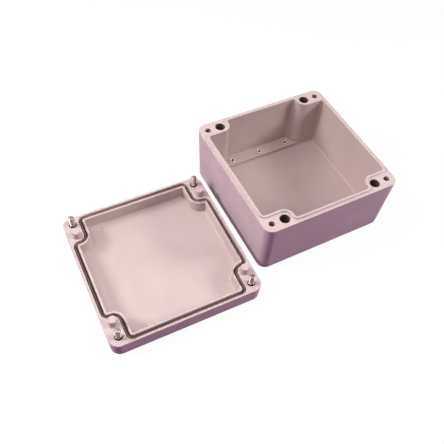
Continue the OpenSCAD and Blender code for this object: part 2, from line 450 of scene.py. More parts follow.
@dataclass
class Plan:
    """The outlines that base and lid share, in millimetres, measured at the parting line."""

    half: float = 80.0
    corner_r: float = 10.0
    corner_cuts: int = 10
    rim_w: float = 5.9
    screw_at: float = 70.0
    fix_x: float = 55.0
    boss_r: float = 10.5
    boss_cuts: int = 14
    fillet_cuts: int = 6
    edge_cuts: int = 8
    # A face this near the middle of a bore is in it
    bore_reach: float = 6.2
    # A face this near the leaning skin, or one that faces down by this much, is outside
    skin_room: float = 1.0
    skin_lean: float = 0.05

    def skin(self, name: str, height: float, draft: float, rim_r: float, edge_r: float) -> Workpiece:
        """Makes the outside of base or lid, open at the parting line and at the bottom.

        Args:
            name: Name of the piece.
            height: Height of the parting line.
            draft: How far each side leans in from the parting line to the bottom.
            rim_r: Radius of the edge at the parting line.
            edge_r: Radius of the edge round the bottom.

        Returns:
            The piece, still in edit mode.
        """
        work = Workpiece(name)
        level = height - rim_r
        work.plate(self.half, self.half, level)
        work.round_corners(lambda p: True, self.corner_r, self.corner_cuts)
        work.pick_faces(lambda f: True)
        work.follow(rounded(Heading.UP, Heading.IN, rim_r))
        work.open_cap()
        work.pick_edges(lambda e: all(abs(p.co.z - level) < NEAR for p in e.verts))
        bpy.ops.mesh.extrude_edges_move(
            TRANSFORM_OT_translate={"value": (0.0, 0.0, edge_r - level)}
        )
        for sx, sy in BASE_SIGNS.values():
            work.pick_points(lambda p: abs(p.z - edge_r) < NEAR and sx * p.x > 0 and sy * p.y > 0)
            bpy.ops.transform.translate(value=(-sx * draft, -sy * draft, 0.0))
        work.pick_edges(lambda e: all(abs(p.co.z - edge_r) < NEAR for p in e.verts))
        bpy.ops.mesh.edge_face_add()
        work.follow(rounded(Heading.DOWN, Heading.IN, edge_r, self.edge_cuts))
        work.open_cap()
        return work

    def depth(self, x: float, y: float) -> float:
        """Measures how far a point in plan lies inside the outer outline.

        Args:
            x: Its place across.
            y: Its place in depth.

        Returns:
            The distance.
        """
        core = self.half - self.corner_r
        past = Vector((max(abs(x) - core, 0.0), max(abs(y) - core, 0.0)))
        return self.corner_r - past.length if past.x and past.y else self.half - max(abs(x), abs(y))

    def zone_of(self, face: bmesh.types.BMFace, top: float, draft: float, edge_r: float) -> Zone:
        """Says which zone of a moulding a face belongs to.

        Args:
            face: The face.
            top: Height at which the outer walls end and the rim starts.
            draft: How far the outer walls lean in.
            edge_r: Radius of the edge round the bottom.

        Returns:
            The zone.
        """
        middle = face.calc_center_median()
        if middle.z > top:
            return Zone.RIM
        spot = Vector((abs(middle.x), abs(middle.y)))
        bores = (Vector((x, self.screw_at)) for x in (self.fix_x, self.screw_at))
        if any((spot - bore).length < self.bore_reach for bore in bores):
            return Zone.BORE
        wall = self.depth(middle.x, middle.y) < draft + self.skin_room
        bottom = middle.z < edge_r - NEAR and face.normal.z < -self.skin_lean
        return Zone.OUTSIDE if wall or bottom else Zone.HOLLOW

    def fillet_corners(self, inward: float) -> list[Vector]:
        """Lists the corners of the hollow's outline where bosses meet walls.

        Args:
            inward: Distance inward from the tongue's inner edge.

        Returns:
            The eight corners in plan.
        """
        half = self.half - self.rim_w - inward
        x, y = self.fix_x - self.boss_r - inward, self.screw_at - self.boss_r - inward
        return [Vector((sx * a, sy * b)) for sx, sy in BASE_SIGNS.values() for a, b in ((half, y), (x, half))]

    def hollow(self, work: Workpiece, inward: float, fillet_r: float, level: float) -> None:
        """Starts a piece with the hollow's outline, which steps in round the corner bosses.

        Args:
            work: A piece with no faces yet.
            inward: Distance inward from the tongue's inner edge.
            fillet_r: Radius between boss and wall at the tongue's inner edge.
            level: Height of the outline.
        """
        half = self.half - self.rim_w - inward
        side = Vector((self.fix_x - self.boss_r - inward, self.screw_at - self.boss_r - inward))
        work.plate(half, half, level)
        for axis in (0, 1):
            for sign in (-1, 1):
                spot, normal = Vector((0.0, 0.0, level)), Vector((0.0, 0.0, 0.0))
                spot[axis], normal[axis] = sign * side[axis], 1.0
                bpy.ops.mesh.select_all(action="SELECT")
                bpy.ops.mesh.bisect(plane_co=spot, plane_no=normal)
        work.pick_faces(
            lambda f: abs(f.calc_center_bounds().x) > side.x and abs(f.calc_center_bounds().y) > side.y
        )
        bpy.ops.mesh.delete(type="FACE")
        bpy.ops.mesh.select_all(action="SELECT")
        bpy.ops.mesh.dissolve_limited(angle_limit=FLAT)
        work.round_corners(
            lambda p: abs(abs(p.x) - side.x) < NEAR and abs(abs(p.y) - side.y) < NEAR,
            self.boss_r + inward,
            self.boss_cuts,
        )
        corners = self.fillet_corners(inward)
        work.round_corners(
            lambda p: any((p.xy - corner).length < NEAR for corner in corners),
            fillet_r - inward,
            self.fillet_cuts,
        )
        work.pick_faces(lambda f: True)


def shade(red: float, green: float, blue: float) -> Colour:
    """Turns a colour as it is seen, each part up to 255, into the values a shader takes.

    Args:
        red: Red part.
        green: Green part.
        blue: Blue part.

    Returns:
        The linear colour with full cover.
    """
    parts = [part / 255.0 for part in (red, green, blue)]
    lit = [p / 12.92 if p <= 0.04045 else ((p + 0.055) / 1.055) ** 2.4 for p in parts]
    return (lit[0], lit[1], lit[2], 1.0)


class Graph:
    """A node tree that is wired up node by node."""

    def __init__(self, tree: bpy.types.NodeTree) -> None:
        """Starts an empty tree.

        Args:
            tree: The tree, whose nodes are cleared.
        """
        self.tree = tree
        tree.nodes.clear()

    def add(self, kind: str, inputs: dict[str | int, object], **settings: object) -> bpy.types.Node:
        """Adds a node.

        Args:
            kind: Its type.
            inputs: Values for its sockets, or the outputs that feed them.
            settings: Its own settings.

        Returns:
            The node.
        """
        node = self.tree.nodes.new(kind)
        for key, value in settings.items():
            setattr(node, key, value)
        for key, value in inputs.items():
            if isinstance(value, bpy.types.NodeSocket):
                self.tree.links.new(value, node.inputs[key])
            else:
                node.inputs[key].default_value = value
        return node

    def reckon(self, how: str, first: object, second: object) -> bpy.types.NodeSocket:
        """Works out one value from two, as a Math node names it."""
        return self.add("ShaderNodeMath", {0: first, 1: second}, operation=how).outputs[0]

    def spread(
        self, value: object, low: float, high: float, start: float, end: float
    ) -> bpy.types.NodeSocket:
        """Carries the values between low and high over to start and end."""
        node = self.add("ShaderNodeMapRange", {0: value, 1: low, 2: high, 3: start, 4: end})
        return node.outputs[0]

    def blend(self, share: object, first: object, second: object) -> bpy.types.NodeSocket:
        """Mixes two colours by a share."""
        return self.add("ShaderNodeMix", {0: share, 6: first, 7: second}, data_type="RGBA").outputs[2]

    def noise(
        self, place: object, scale: object, detail: float = 2.0, rough: float = 0.5
    ) -> bpy.types.NodeSocket:
        """Adds a noise and returns its value."""
        inputs = {"Vector": place, "Scale": scale, "Detail": detail, "Roughness": rough}
        return self.add("ShaderNodeTexNoise", inputs).outputs[0]

    def relief(self, height: object, strength: float, distance: float) -> bpy.types.NodeSocket:
        """Turns a height into a normal."""
        inputs = {"Height": height, "Strength": strength, "Distance": distance}
        return self.add("ShaderNodeBump", inputs).outputs[0]

    def place(self) -> bpy.types.NodeSocket:
        """Returns the place on the piece, in metres."""
        return self.add("ShaderNodeTexCoord", {}).outputs["Object"]


class Effect:
    """A node group that several finishes share."""

    def __init__(self, name: str, inputs: dict[str, str], outputs: Sequence[str]) -> None:
        """Makes the group with its named sockets.

        Args:
            name: Name of the group.
            inputs: Socket type of each input by its name.
            outputs: Names of the outputs, which are all plain values.
        """
        self.tree = bpy.data.node_groups.new(name, "ShaderNodeTree")
        for label, kind in inputs.items():
            self.tree.interface.new_socket(label, in_out="INPUT", socket_type=kind)
        for label in outputs:
            self.tree.interface.new_socket(label, in_out="OUTPUT", socket_type="NodeSocketFloat")
        self.graph = Graph(self.tree)
        self.given = self.graph.add("NodeGroupInput", {}).outputs

    def put_out(self, values: dict[str, bpy.types.NodeSocket]) -> None:
        """Ends the group with its outputs by name."""
        self.graph.add("NodeGroupOutput", values)

    def use(self, graph: Graph, inputs: dict[str, object]) -> bpy.types.NodeOutputs:
        """Places the group in a finish.

        Args:
            graph: The finish's tree.
            inputs: Values or outputs for its named inputs.

        Returns:
            The placed group's outputs.
        """
        return graph.add("ShaderNodeGroup", inputs, node_tree=self.tree).outputs


class Grain(Effect):
    """The mottle, fibre flecks and fine relief of a moulded surface."""

    # Sizes of the fibre pattern and of the ripple against that of the grit, and how thin a fibre is
    STREAK, RIPPLE, THIN = 0.16, 0.22, 0.012
    # Where the clouds start and end, for the mottle and for where fibres show
    MOTTLE, FLECKED = (0.32, 0.68), (0.4, 0.62)
    # Shares of ripple and grit in the relief
    SHARES = (0.6, 0.4)

    def __init__(self) -> None:
        """Wires the group."""
        sizes = {"Patch": "NodeSocketFloat", "Grit": "NodeSocketFloat"}
        inputs = {"Vector": "NodeSocketVector", **sizes}
        super().__init__("moulded_grain", inputs, ("Mottle", "Fleck", "Relief"))
        g, spot, size = self.graph, self.given["Vector"], self.given["Grit"]
        cloud = g.noise(spot, self.given["Patch"], 5.0, 0.62)
        streak = g.noise(spot, g.reckon("MULTIPLY", size, self.STREAK), 1.0)
        off_line = g.reckon("ABSOLUTE", g.reckon("SUBTRACT", streak, 0.5), 0.0)
        fibre = g.spread(off_line, 0.0, self.THIN, 1.0, 0.0)
        waves = (g.noise(spot, g.reckon("MULTIPLY", size, self.RIPPLE)), g.noise(spot, size))
        coarse, fine = (g.reckon("MULTIPLY", wave, share) for wave, share in zip(waves, self.SHARES))
        self.put_out(
            {
                "Mottle": g.spread(cloud, *self.MOTTLE, 0.0, 1.0),
                "Fleck": g.reckon("MULTIPLY", fibre, g.spread(cloud, *self.FLECKED, 0.0, 1.0)),
                "Relief": g.reckon("ADD", coarse, fine),
            }
        )


class Handling(Effect):
    """The uneven gloss and the faint scuffs that handling leaves."""

    # How scuffs are turned and drawn out, and how much finer than smudges they are
    TURN, STRETCH, FINER = (0.3, 0.2, 0.7), (1.0, 9.0, 3.0), 4.0
    # Where each noise starts and ends
    SMUDGE, SCUFF = (0.3, 0.7), (0.62, 0.7)

    def __init__(self) -> None:
        """Wires the group."""
        inputs = {"Vector": "NodeSocketVector", "Scale": "NodeSocketFloat"}
        super().__init__("handling", inputs, ("Smudge", "Scuff"))
        g, spot, scale = self.graph, self.given["Vector"], self.given["Scale"]
        smudge = g.noise(spot, scale, 3.0, 0.55)
        drawn = g.add("ShaderNodeMapping", {"Vector": spot, "Rotation": self.TURN, "Scale": self.STRETCH})
        scuff = g.noise(drawn.outputs[0], g.reckon("MULTIPLY", scale, self.FINER), 4.0, 0.7)
        self.put_out(
            {
                "Smudge": g.spread(smudge, *self.SMUDGE, 0.0, 1.0),
                "Scuff": g.spread(scuff, *self.SCUFF, 0.0, 1.0),
            }
        )


class Turning(Effect):
    """The fine rings that a lathe leaves about an upright axis."""

    # Rings hardly change across the axis
    FLATTEN = (0.04, 0.04, 1.0)
    # Where the noise starts and ends
    LINE = (0.3, 0.7)

    def __init__(self) -> None:
        """Wires the group."""
        inputs = {"Vector": "NodeSocketVector", "Scale": "NodeSocketFloat"}
        super().__init__("turning", inputs, ("Line",))
        g = self.graph
        flat = g.add("ShaderNodeMapping", {"Vector": self.given["Vector"], "Scale": self.FLATTEN})
        line = g.noise(flat.outputs[0], self.given["Scale"], 3.0, 0.6)
        self.put_out({"Line": g.spread(line, *self.LINE, 0.0, 1.0)})


@dataclass
class Effects:
    """The effects that the finishes share."""

    grain: Grain = field(default_factory=Grain)
    handling: Handling = field(default_factory=Handling)
    turning: Turning = field(default_factory=Turning)


def start_finish(name: str) -> tuple[bpy.types.Material, Graph]:
    """Makes an empty material.

    Args:
        name: Its name.

    Returns:
        The material and its tree.
    """
    material = bpy.data.materials.new(name)
    material.use_nodes = True
    return material, Graph(material.node_tree)


def end_finish(graph: Graph, inputs: dict[str, object]) -> None:
    """Closes a material with a Principled shader.

    Args:
        graph: The material's tree.
        inputs: Values or outputs for the shader's sockets.
    """
    surface = graph.add("ShaderNodeBsdfPrincipled", inputs)
    graph.add("ShaderNodeOutputMaterial", {"Surface": surface.outputs[0]})


@dataclass(frozen=True)
class Polyester:
    """Matt moulded glass-fibre polyester."""

    name: str
    pale: Colour
    deep: Colour
    fibre: Colour
    roughness: float
    shine: float
    # Scales of the mottle and of the grit, and depth of the relief in metres
    patch: float = 26.0
    grit: float = 2600.0
    relief: float = 0.00012
    bump: float = 0.5
    # Scale of the smudges, and how far they change the roughness either way
    smudge: float = 40.0
    uneven: float = 0.07
    fleck: float = 0.35
    scuff: float = 0.06

    def make(self, effects: Effects) -> bpy.types.Material:
        """Builds the material.

        Args:
            effects: The shared effects.

        Returns:
            The material.
        """
        material, g = start_finish(self.name)
        spot = g.place()
        grain = effects.grain.use(g, {"Vector": spot, "Patch": self.patch, "Grit": self.grit})
        hand = effects.handling.use(g, {"Vector": spot, "Scale": self.smudge})
        tone = g.blend(grain["Mottle"], self.deep, self.pale)
        tone = g.blend(g.reckon("MULTIPLY", grain["Fleck"], self.fleck), tone, self.fibre)
        low, high = self.roughness - self.uneven, self.roughness + self.uneven
        gloss = g.spread(hand["Smudge"], 0.0, 1.0, low, high)
        gloss = g.reckon("ADD", gloss, g.reckon("MULTIPLY", hand["Scuff"], self.scuff))
        end_finish(
            g,
            {
                "Base Color": tone,
                "Roughness": gloss,
                "Normal": g.relief(grain["Relief"], self.bump, self.relief),
                "Specular IOR Level": self.shine,
            },
        )
        return material


@dataclass(frozen=True)
class Rubber:
    """Moulded rubber with a dusty bloom."""

    name: str
    body: Colour
    bloom: Colour
    roughness: float = 0.62
    uneven: tuple[float, float] = (0.1, 0.12)
    shine: float = 0.35
    patch: float = 90.0
    grit: float = 4200.0
    relief: float = 0.0001
    bump: float = 0.6
    smudge: float = 120.0
    dust: float = 0.5

    def make(self, effects: Effects) -> bpy.types.Material:
        """Builds the material.

        Args:
            effects: The shared effects.

        Returns:
            The material.
        """
        material, g = start_finish(self.name)
        spot = g.place()
        grain = effects.grain.use(g, {"Vector": spot, "Patch": self.patch, "Grit": self.grit})
        hand = effects.handling.use(g, {"Vector": spot, "Scale": self.smudge})
        tone = g.blend(g.reckon("MULTIPLY", grain["Mottle"], self.dust), self.body, self.bloom)
        low, high = self.roughness - self.uneven[0], self.roughness + self.uneven[1]
        end_finish(
            g,
            {
                "Base Color": tone,
                "Roughness": g.spread(hand["Smudge"], 0.0, 1.0, low, high),
                "Normal": g.relief(grain["Relief"], self.bump, self.relief),
                "Specular IOR Level": self.shine,
            },
        )
        return material


@dataclass(frozen=True)
class TurnedMetal:
    """Bright turned metal with lathe rings and a little tarnish."""

    name: str
    bright: Colour
    dull: Colour
    roughness: float
    metal: float = 1.0
    uneven: tuple[float, float] = (0.06, 0.1)
    rings: float = 5200.0
    relief: float = 0.00003
    bump: float = 0.3
    smudge: float = 320.0

    def make(self, effects: Effects) -> bpy.types.Material:
        """Builds the material.

        Args:
            effects: The shared effects.

        Returns:
            The material.
        """
        material, g = start_finish(self.name)
        spot = g.place()
        rings = effects.turning.use(g, {"Vector": spot, "Scale": self.rings})
        hand = effects.handling.use(g, {"Vector": spot, "Scale": self.smudge})
        # The mean of both
        share = g.reckon("MULTIPLY", g.reckon("ADD", rings["Line"], hand["Smudge"]), 0.5)
        low, high = self.roughness - self.uneven[0], self.roughness + self.uneven[1]
        end_finish(
            g,
            {
                "Base Color": g.blend(share, self.bright, self.dull),
                "Roughness": g.spread(share, 0.0, 1.0, low, high),
                "Normal": g.relief(rings["Line"], self.bump, self.relief),
                "Metallic": self.metal,
            },
        )
        return material


@dataclass
class Dressed:
    """A finished piece with what it stands for."""

    obj: bpy.types.Object
    body: str
    nodes: Sequence[str]
    slot: str

    def hand_over(self) -> None:
        """Rides the piece on its body, in place of its solids, and reports it."""
        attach(self.obj, self.body)
        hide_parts(*self.nodes)
        LOG.info("%s: %d faces on %s", self.obj.name, len(self.obj.data.polygons), self.body)


@dataclass
class BaseMoulding:
    """The deep base: outer walls, sealing tongue, corner bosses and floor strips."""

    plan: Plan
    height: float = 70.0
    draft: float = 2.0
    rim_r: float = 0.6
    edge_r: float = 2.5
    floor_t: float = 6.0
    floor_fillet: float = 1.8
    boss_fillet: float = 3.0
    tongue_w: float = 2.6
    tongue_h: float = 2.2
    tongue_r: float = 0.8
    tongue_foot: float = 0.5
    bore_r: float = 5.4
    bore_edge: float = 0.5
    hole_r: float = 3.5
    seat_t: float = 6.5
    mouth_r: float = 3.2
    mouth_edge: float = 0.3
    insert_r: float = 4.3
    insert_h: float = 15.0
    insert_depth: float = 1.5
    tip_room: float = 10.0
    strip_w: float = 14.5
    strip_top: float = 10.5
    strip_edge: float = 0.4
    strip_overlap: float = 2.0
    pocket_r: float = 3.5
    pocket_points: int = 40
    pocket_floor: float = 3.5
    pocket_pitch: float = 37.0
    pocket_y: float = 66.0
    mark_at: Point = (63.5, 20.0)
    mark_r: float = 3.0
    mark_depth: float = 0.3

    def hollow(self) -> Workpiece:
        """Makes the tongue, the inner walls and the floor with its moulding marks.

        Returns:
            The piece, still in edit mode.
        """
        core = Workpiece("base_hollow")
        self.plan.hollow(core, -self.tongue_w - self.tongue_foot, self.boss_fillet, self.height)
        wall = self.tongue_h + self.height - self.floor_t
        core.follow(
            [
                *rounded(Heading.IN, Heading.UP, self.tongue_foot),
                *straight(Heading.UP, self.tongue_h - self.tongue_foot - self.tongue_r),
                *rounded(Heading.UP, Heading.IN, self.tongue_r),
                *straight(Heading.IN, self.tongue_w - 2 * self.tongue_r),
                *rounded(Heading.IN, Heading.DOWN, self.tongue_r),
                *straight(Heading.DOWN, wall - self.tongue_r - self.floor_fillet),
                *rounded(Heading.DOWN, Heading.IN, self.floor_fillet, ROUND_CUTS),
            ]
        )
        core.open_cap()
        for sign in (-1, 1):
            spot = (sign * self.mark_at[0], self.mark_at[1])
            core.dent(spot, self.floor_t, self.mark_r, self.mark_depth)
        core.close_level(self.floor_t)
        return core

    def drill(self, work: Workpiece) -> None:
        """Adds the corner bores to the hollow.

        Args:
            work: The hollow, in edit mode.
        """
        for sx, sy in BASE_SIGNS.values():
            bore = (sx * self.plan.fix_x, sy * self.plan.screw_at)
            work.disc(bore, self.height, self.bore_r + self.bore_edge)
            work.follow(
                [
                    *rounded(Heading.IN, Heading.DOWN, self.bore_edge, EDGE_CUTS),
                    *straight(Heading.DOWN, self.height - self.bore_edge - self.seat_t),
                    *straight(Heading.IN, self.bore_r - self.hole_r - self.mouth_edge),
                    *rounded(Heading.IN, Heading.DOWN, self.mouth_edge, EDGE_CUTS),
                    *straight(Heading.DOWN, self.seat_t - 2 * self.mouth_edge),
                    (-self.mouth_edge, -self.mouth_edge),
                ]
            )
            work.open_cap()
            mouth = (sx * self.plan.screw_at, sy * self.plan.screw_at)
            work.disc(mouth, self.height, self.mouth_r + self.mouth_edge)
            work.follow(
                [
                    *rounded(Heading.IN, Heading.DOWN, self.mouth_edge, EDGE_CUTS),
                    *straight(Heading.DOWN, self.insert_depth - self.mouth_edge),
                    *straight(Heading.OUT, self.insert_r - self.mouth_r),
                    *straight(Heading.DOWN, self.insert_h),
                    *straight(Heading.IN, self.insert_r - self.mouth_r),
                    *straight(Heading.DOWN, self.tip_room),
                ]
            )

    def strip(self, side: int) -> Workpiece:
        """Makes one of the raised strips along the floor.

        Args:
            side: -1 for the front strip, 1 for the back one.

        Returns:
            The sealed strip, a little longer and deeper than what shows of it.
        """
        inner = self.plan.half - self.plan.rim_w - self.strip_w
        outer = self.plan.half - self.plan.rim_w + self.strip_overlap
        foot = self.floor_t - self.strip_overlap
        work = Workpiece("floor_strip")
        work.plate(self.plan.fix_x, (outer - inner) / 2, foot)
        work.follow(
            [
                *straight(Heading.UP, self.strip_top - foot - self.strip_edge),
                *rounded(Heading.UP, Heading.IN, self.strip_edge),
            ]
        )
        bpy.ops.mesh.select_all(action="SELECT")
        bpy.ops.transform.translate(value=(0.0, side * (outer + inner) / 2, 0.0))
        work.seal()
        return work

    def pockets(self) -> Workpiece:
        """Makes the cutter for the six insert pockets of the strips.

        Returns:
            The sealed cutter.
        """
        work = Workpiece("strip_pockets")
        for row in (-1, 1):
            for column in (-1, 0, 1):
                spot = (column * self.pocket_pitch, row * self.pocket_y)
                work.disc(spot, self.pocket_floor, self.pocket_r, self.pocket_points)
                work.follow(straight(Heading.UP, self.strip_top))
        work.seal()
        return work

    def zone_of(self, face: bmesh.types.BMFace) -> Zone:
        """Says which zone a face belongs to."""
        return self.plan.zone_of(face, self.height - self.rim_r, self.draft, self.edge_r)

    def build(self, finishes: dict[Zone, bpy.types.Material]) -> Dressed:
        """Models and dresses the base.

        Args:
            finishes: Finish of each zone.

        Returns:
            The finished piece.
        """
        work = self.plan.skin("base_moulding", self.height, self.draft, self.rim_r, self.edge_r)
        core = self.hollow()
        self.drill(core)
        work.absorb(core)
        work.close_level(self.height)
        work.close_level(0.0)
        work.seal()
        for side in (-1, 1):
            work.work_in(self.strip(side), Join.UNION)
        work.work_in(self.pockets(), Join.CUT)
        work.smooth()
        work.dress(finishes, self.zone_of)
        Place().settle(work.obj)
        return Dressed(work.obj, "base", ["base_shell"], "polyester")


@dataclass
class LidMoulding:
    """The shallow lid, lying upside down: groove, lip, plugs and screw bores."""

    plan: Plan
    place: Place
    height: float = 20.0
    draft: float = 0.5
    rim_r: float = 0.6
    edge_r: float = 2.5
    floor_t: float = 5.0
    floor_fillet: float = 1.2
    boss_fillet: float = 3.0
    # Distances inward from the tongue's inner edge
    groove_outer: float = -3.6
    groove_inner: float = 0.3
    lip_inner: float = 2.6
    groove_depth: float = 5.0
    lip_r: float = 0.45
    # Points this near a corner of the hollow belong to its round
    corner_reach: float = 0.9
    plug_r: float = 5.0
    plug_h: float = 8.5
    plug_edge: float = 0.7
    plug_foot: float = 0.9
    plug_taper: float = 0.8
    bore_r: float = 3.8
    bore_edge: float = 0.4
    recess_r: float = 6.0
    recess_depth: float = 7.0
    seal_h: float = 2.95
    seal_foot: float = 0.7
    seal_edge: float = 0.7
    seal_room: float = 0.05
    seal_ledge_outer: float = 0.55
    seal_ledge_inner: float = 1.55
    seal_cuts: int = 5
    seal_crisp: float = 60.0
    mark_at: Point = (63.5, 43.0)
    mark_r: float = 3.0
    mark_depth: float = 0.3

    def hollow(self) -> Workpiece:
        """Makes the groove, the lip, the inner walls and the plate with its moulding marks.

        Returns:
            The piece, still in edit mode.
        """
        core = Workpiece("lid_hollow")
        r = self.lip_r
        self.plan.hollow(core, self.groove_outer - r, self.boss_fillet, self.height)
        wall = self.height - self.floor_t
        core.follow(
            [
                *rounded(Heading.IN, Heading.DOWN, r),
                *straight(Heading.DOWN, self.groove_depth - 2 * r),
                *rounded(Heading.DOWN, Heading.IN, r, EDGE_CUTS),
                *straight(Heading.IN, self.groove_inner - self.groove_outer - 2 * r),
                *rounded(Heading.IN, Heading.UP, r, EDGE_CUTS),
                *straight(Heading.UP, self.groove_depth - 2 * r),
                *rounded(Heading.UP, Heading.IN, r),
                *straight(Heading.IN, self.lip_inner - self.groove_inner - 2 * r),
                *rounded(Heading.IN, Heading.DOWN, r),
                *straight(Heading.DOWN, wall - r - self.floor_fillet),
            ]
        )
        # The small corner rounds close to points here, so that the floor's fillet can run on inward
        level = self.floor_t + self.floor_fillet
        for corner in self.plan.fillet_corners(self.lip_inner):
            core.pick_points(
                lambda p: abs(p.z - level) < NEAR and (p.xy - corner).length < self.corner_reach
            )
            bpy.ops.mesh.merge(type="CENTER")
        core.pick_faces(lambda f: all(abs(p.co.z - level) < NEAR for p in f.verts))
        core.follow(rounded(Heading.DOWN, Heading.IN, self.floor_fillet, ROUND_CUTS))
        core.open_cap()
        for sx, sy in LID_SIGNS.values():
            spot = (sx * self.mark_at[0], sy * self.mark_at[1])
            core.dent(spot, self.floor_t, self.mark_r, self.mark_depth)
        core.close_level(self.floor_t)
        return core

    def plugs_and_bores(self, work: Workpiece) -> None:
        """Adds the corner plugs and the screw bores to the hollow.

        Args:
            work: The hollow, in edit mode.
        """
        for sx, sy in LID_SIGNS.values():
            plug = (sx * self.plan.fix_x, sy * self.plan.screw_at)
            work.disc(plug, self.height, self.plug_r + self.plug_foot)
            work.follow(
                [
                    *rounded(Heading.IN, Heading.UP, self.plug_foot),
                    (self.plug_taper, self.plug_h - self.plug_foot - self.plug_edge),
                    *rounded(Heading.UP, Heading.IN, self.plug_edge, ROUND_CUTS),
                ]
            )
            bore = (sx * self.plan.screw_at, sy * self.plan.screw_at)
            work.disc(bore, self.height, self.bore_r + self.bore_edge)
            work.follow(
                [
                    *rounded(Heading.IN, Heading.DOWN, self.bore_edge, EDGE_CUTS),
                    *straight(Heading.DOWN, self.height - self.bore_edge - self.recess_depth),
                    *straight(Heading.OUT, self.recess_r - self.bore_r),
                    *straight(Heading.DOWN, self.recess_depth - self.bore_edge),
                    (-self.bore_edge, -self.bore_edge),
                ]
            )
            work.open_cap()

    def zone_of(self, face: bmesh.types.BMFace) -> Zone:
        """Says which zone a face belongs to."""
        return self.plan.zone_of(face, self.height - self.rim_r, self.draft, self.edge_r)

    def build(self, finishes: dict[Zone, bpy.types.Material]) -> Dressed:
        """Models and dresses the lid.

        Args:
            finishes: Finish of each zone.

        Returns:
            The finished piece.
        """
        work = self.plan.skin("lid_moulding", self.height, self.draft, self.rim_r, self.edge_r)
        core = self.hollow()
        self.plugs_and_bores(core)
        work.absorb(core)
        work.close_level(self.height)
        work.close_level(0.0)
        work.seal()
        work.smooth()
        work.dress(finishes, self.zone_of)
        self.place.settle(work.obj)
        return Dressed(work.obj, "lid", ["lid_shell"], "polyester")

    def seal_zone_of(self, face: bmesh.types.BMFace) -> Zone:
        """Says whether a face of the seal lies on its top, in the seal's own colour, or lower, where dark
        rubber is painted shade in the groove.
        """
        top = self.height - self.groove_depth + self.seal_room + self.seal_h - self.seal_edge
        return Zone.RIM if face.calc_center_median().z > top else Zone.HOLLOW

    def build_seal(self, rubber: dict[Zone, bpy.types.Material]) -> Dressed:
        """Models the seal, a round-topped bead on a wider foot, nearer the groove's outer wall.

        Args:
            rubber: Its finish: the seal's own colour on top, and dark rubber below as painted shade in the
                groove.

        Returns:
            The finished piece.
        """
        ledges = self.seal_ledge_outer + self.seal_ledge_inner
        bead = self.groove_inner - self.groove_outer - 2 * self.seal_room - ledges
        rise = self.seal_h - self.seal_foot - self.seal_edge
        level = self.height - self.groove_depth + self.seal_room
        work = Workpiece("lid_seal")
        self.plan.hollow(work, self.groove_outer + self.seal_room, self.boss_fillet, level)
        work.follow(
            [
                NO_FLOOR,
                *straight(Heading.UP, self.seal_foot),
                *straight(Heading.IN, self.seal_ledge_outer),
                *straight(Heading.UP, rise),
                *rounded(Heading.UP, Heading.IN, self.seal_edge, self.seal_cuts),
                *straight(Heading.IN, bead - 2 * self.seal_edge),
                *rounded(Heading.IN, Heading.DOWN, self.seal_edge, self.seal_cuts),
                *straight(Heading.DOWN, rise),
                *straight(Heading.IN, self.seal_ledge_inner),
                *straight(Heading.DOWN, self.seal_foot),
            ]
        )
        work.open_cap()
        work.bridge_level(level)
        work.seal()
        work.smooth(self.seal_crisp)
        work.dress(rubber, self.seal_zone_of)
        self.place.settle(work.obj)
        return Dressed(work.obj, "lid", ["lid_gasket"], "seal_rubber")


@dataclass
class Thread:
    """A right-handed screw thread about the upright axis through the origin."""

    major_r: float
    minor_r: float
    pitch: float
    low: float
    high: float
    steps: int = 24
    # Rise of a flank, of the crest and of the root, as shares of the pitch
    flank: float = 0.40
    crest: float = 0.12
    root: float = 0.08
    # Turns beyond both ends together, before the ends are cut flat
    spare: int = 3

    def solid(self, name: str) -> Workpiece:
        """Makes the thread as a closed solid that ends flat.

        Args:
            name: Name of the piece.

        Returns:
            The sealed thread.
        """
        work = Workpiece(name)
        bpy.ops.mesh.primitive_plane_add(size=1.0)
        bpy.ops.mesh.merge(type="CENTER")
        bpy.ops.mesh.select_mode(type="VERT")
        bpy.ops.mesh.select_all(action="SELECT")
        bpy.ops.transform.translate(value=(self.minor_r, 0.0, 0.0))
        depth = self.major_r - self.minor_r
        section = ((depth, self.flank), (0.0, self.crest), (-depth, self.flank), (0.0, self.root))
        for out, up in section:
            bpy.ops.mesh.extrude_vertices_move(
                TRANSFORM_OT_translate={"value": (out, 0.0, up * self.pitch)}
            )
        bpy.ops.mesh.select_all(action="SELECT")
        turns = math.ceil((self.high - self.low) / self.pitch) + self.spare
        bpy.ops.mesh.screw(steps=self.steps, turns=turns, center=(0, 0, 0), axis=(0, 0, -1))
        bpy.ops.mesh.select_all(action="SELECT")
        bpy.ops.mesh.remove_doubles(threshold=NEAR)
        lowest = min(point.co.z for point in work.cage().verts)
        start = self.low - self.spare / 2 * self.pitch
        bpy.ops.transform.translate(value=(0.0, 0.0, start - lowest))
        for level, side in ((self.low, -1.0), (self.high, 1.0)):
            bpy.ops.mesh.select_all(action="SELECT")
            bpy.ops.mesh.bisect(
                plane_co=(0, 0, level), plane_no=(0, 0, side), use_fill=True, clear_outer=True
            )
        work.seal()
        return work


